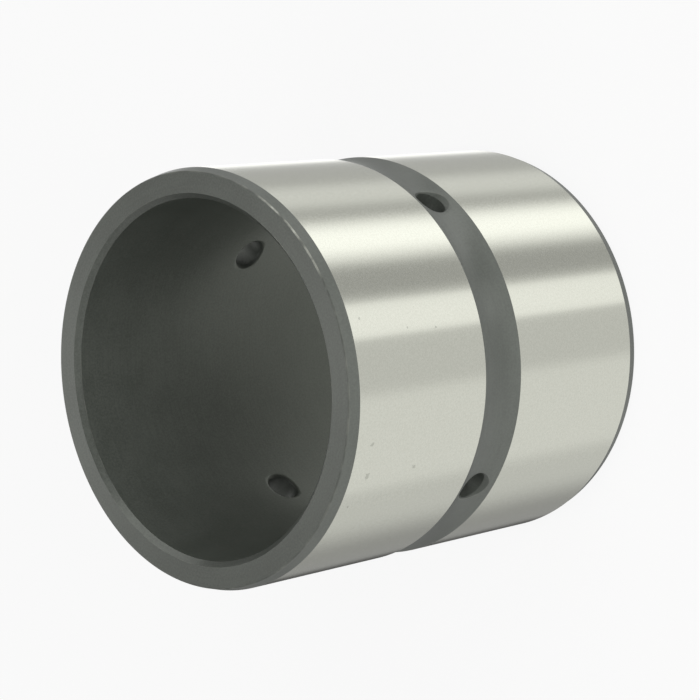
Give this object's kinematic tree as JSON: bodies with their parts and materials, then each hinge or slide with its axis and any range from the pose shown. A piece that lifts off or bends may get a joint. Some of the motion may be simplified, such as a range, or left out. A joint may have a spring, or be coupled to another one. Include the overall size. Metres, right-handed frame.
{
  "type": "sleeve bearing",
  "caption": "One-piece steel pin bushing: a thin-walled sleeve with tapered outer ends, a shallow grease groove round its middle and radial grease holes through the wall.",
  "frame": {"origin": "centre of the lower end face, where the sleeve stands", "axes": "+Z along the bore axis; two of the four grease holes lie on +X and -X, the others on +Y and -Y"},
  "size_m": [0.105, 0.105, 0.11],
  "materials": {
    "steel": "hardened steel: black oxide on the end faces, tapers, groove, holes and bore, and a bright ground finish on the two outside bands"
  },
  "bodies": {
    "root": {"bearing_sleeve": "steel"}
  },
  "joints": []
}
